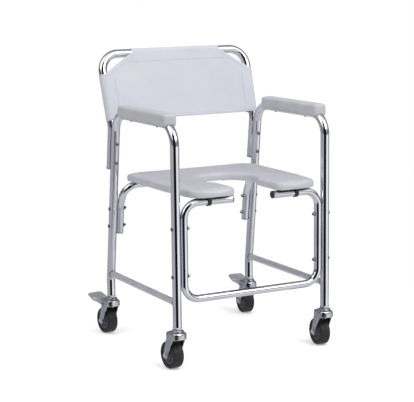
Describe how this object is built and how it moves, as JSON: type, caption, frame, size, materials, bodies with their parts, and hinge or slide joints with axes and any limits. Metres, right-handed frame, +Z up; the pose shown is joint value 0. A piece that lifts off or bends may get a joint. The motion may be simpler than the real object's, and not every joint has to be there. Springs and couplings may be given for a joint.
{
  "type": "commode chair",
  "caption": "Wheeled commode and shower chair: polished tube frame with arms and footrest bar, horseshoe seat, fabric back, swivel casters, rear ones with brake pedals.",
  "frame": {"origin": "on the floor, under the middle of the whole chair", "axes": "+Z up, -Y the way the sitter faces, +X to the right of someone looking at the chair from its front"},
  "size_m": [0.559, 0.5954, 0.8789],
  "materials": {
    "polished_tube": "bright polished plated tube",
    "satin_tube": "satin tube",
    "zinc": "zinc-plated pressed sheet",
    "bolt_steel": "plated fasteners",
    "black_plastic": "moulded black plastic",
    "grey_plastic": "moulded grey plastic",
    "board": "moulded seat board",
    "seat_vinyl": "grained grey vinyl over foam",
    "sling_vinyl": "coated pale grey upholstery fabric",
    "arm_foam": "moulded grey foam with a skin",
    "hub_plastic": "moulded dark grey plastic",
    "tyre": "solid charcoal tyre"
  },
  "bodies": {
    "frame": {"side_frame_left": "polished_tube", "side_frame_right": "polished_tube", "lower_side_rail_left": "satin_tube", "lower_side_rail_right": "satin_tube", "front_frame_tube": "polished_tube", "rear_seat_tube": "polished_tube", "back_frame_tube": "polished_tube", "front_tube_cap_left": "black_plastic", "front_tube_cap_right": "black_plastic", "rear_tube_plug_left": "grey_plastic", "rear_tube_plug_right": "grey_plastic", "back_tube_plug_left": "grey_plastic", "back_tube_plug_right": "grey_plastic", "front_bolt_left_upper": "bolt_steel", "front_bolt_left_lower": "bolt_steel", "front_bolt_right_upper": "bolt_steel", "front_bolt_right_lower": "bolt_steel", "rear_bolt_left_upper": "bolt_steel", "rear_bolt_left_lower": "bolt_steel", "rear_bolt_right_upper": "bolt_steel", "rear_bolt_right_lower": "bolt_steel", "back_bolt_left_upper": "bolt_steel", "back_bolt_left_lower": "bolt_steel", "back_bolt_right_upper": "bolt_steel", "back_bolt_right_lower": "bolt_steel", "seat_board": "board", "seat_pad": "seat_vinyl", "seat_clip_front_left": "black_plastic", "seat_clip_front_right": "black_plastic", "seat_clip_rear_left": "black_plastic", "seat_clip_rear_right": "black_plastic", "arm_pad_left": "arm_foam", "arm_pad_right": "arm_foam", "back_sling": "sling_vinyl", "caster_stem_front_left": "zinc", "caster_stem_front_right": "zinc", "caster_stem_rear_left": "zinc", "caster_stem_rear_right": "zinc"},
    "fork_front_left": {"caster_fork_front_left": "zinc", "caster_axle_front_left": "bolt_steel"},
    "wheel_front_left": {"wheel_hub_front_left": "hub_plastic", "wheel_tyre_front_left": "tyre"},
    "fork_front_right": {"caster_fork_front_right": "zinc", "caster_axle_front_right": "bolt_steel"},
    "wheel_front_right": {"wheel_hub_front_right": "hub_plastic", "wheel_tyre_front_right": "tyre"},
    "fork_rear_left": {"caster_fork_rear_left": "zinc", "caster_axle_rear_left": "bolt_steel"},
    "wheel_rear_left": {"wheel_hub_rear_left": "hub_plastic", "wheel_tyre_rear_left": "tyre"},
    "fork_rear_right": {"caster_fork_rear_right": "zinc", "caster_axle_rear_right": "bolt_steel"},
    "wheel_rear_right": {"wheel_hub_rear_right": "hub_plastic", "wheel_tyre_rear_right": "tyre"},
    "pedal_left": {"brake_pedal_left": "zinc"},
    "pedal_right": {"brake_pedal_right": "zinc"}
  },
  "joints": [
    {"name": "caster_swivel_front_left", "type": "hinge", "parent": "frame", "child": "fork_front_left", "pos_m": [-0.2455, -0.26372, 0.111], "axis": [0, 0, 1], "continuous": true},
    {"name": "wheel_spin_front_left", "type": "hinge", "parent": "fork_front_left", "child": "wheel_front_left", "pos_m": [-0.24811, -0.23383, 0.04], "axis": [0.9962, 0.0872, 0], "continuous": true},
    {"name": "caster_swivel_front_right", "type": "hinge", "parent": "frame", "child": "fork_front_right", "pos_m": [0.2455, -0.26372, 0.111], "axis": [0, 0, 1], "continuous": true},
    {"name": "wheel_spin_front_right", "type": "hinge", "parent": "fork_front_right", "child": "wheel_front_right", "pos_m": [0.24811, -0.23383, 0.04], "axis": [0.9962, -0.0872, 0], "continuous": true},
    {"name": "caster_swivel_rear_left", "type": "hinge", "parent": "frame", "child": "fork_rear_left", "pos_m": [-0.2455, 0.18628, 0.111], "axis": [0, 0, 1], "continuous": true},
    {"name": "wheel_spin_rear_left", "type": "hinge", "parent": "fork_rear_left", "child": "wheel_rear_left", "pos_m": [-0.24811, 0.21617, 0.04], "axis": [0.9962, 0.0872, 0], "continuous": true},
    {"name": "caster_swivel_rear_right", "type": "hinge", "parent": "frame", "child": "fork_rear_right", "pos_m": [0.2455, 0.18628, 0.111], "axis": [0, 0, 1], "continuous": true},
    {"name": "wheel_spin_rear_right", "type": "hinge", "parent": "fork_rear_right", "child": "wheel_rear_right", "pos_m": [0.24811, 0.21617, 0.04], "axis": [0.9962, -0.0872, 0], "continuous": true},
    {"name": "brake_pedal_left", "type": "hinge", "parent": "fork_rear_left", "child": "pedal_left", "pos_m": [-0.24716, 0.20521, 0.097], "axis": [-0.9962, -0.0872, 0], "range_deg": [0, 16]},
    {"name": "brake_pedal_right", "type": "hinge", "parent": "fork_rear_right", "child": "pedal_right", "pos_m": [0.24716, 0.20521, 0.097], "axis": [-0.9962, 0.0872, 0], "range_deg": [0, 16]}
  ]
}
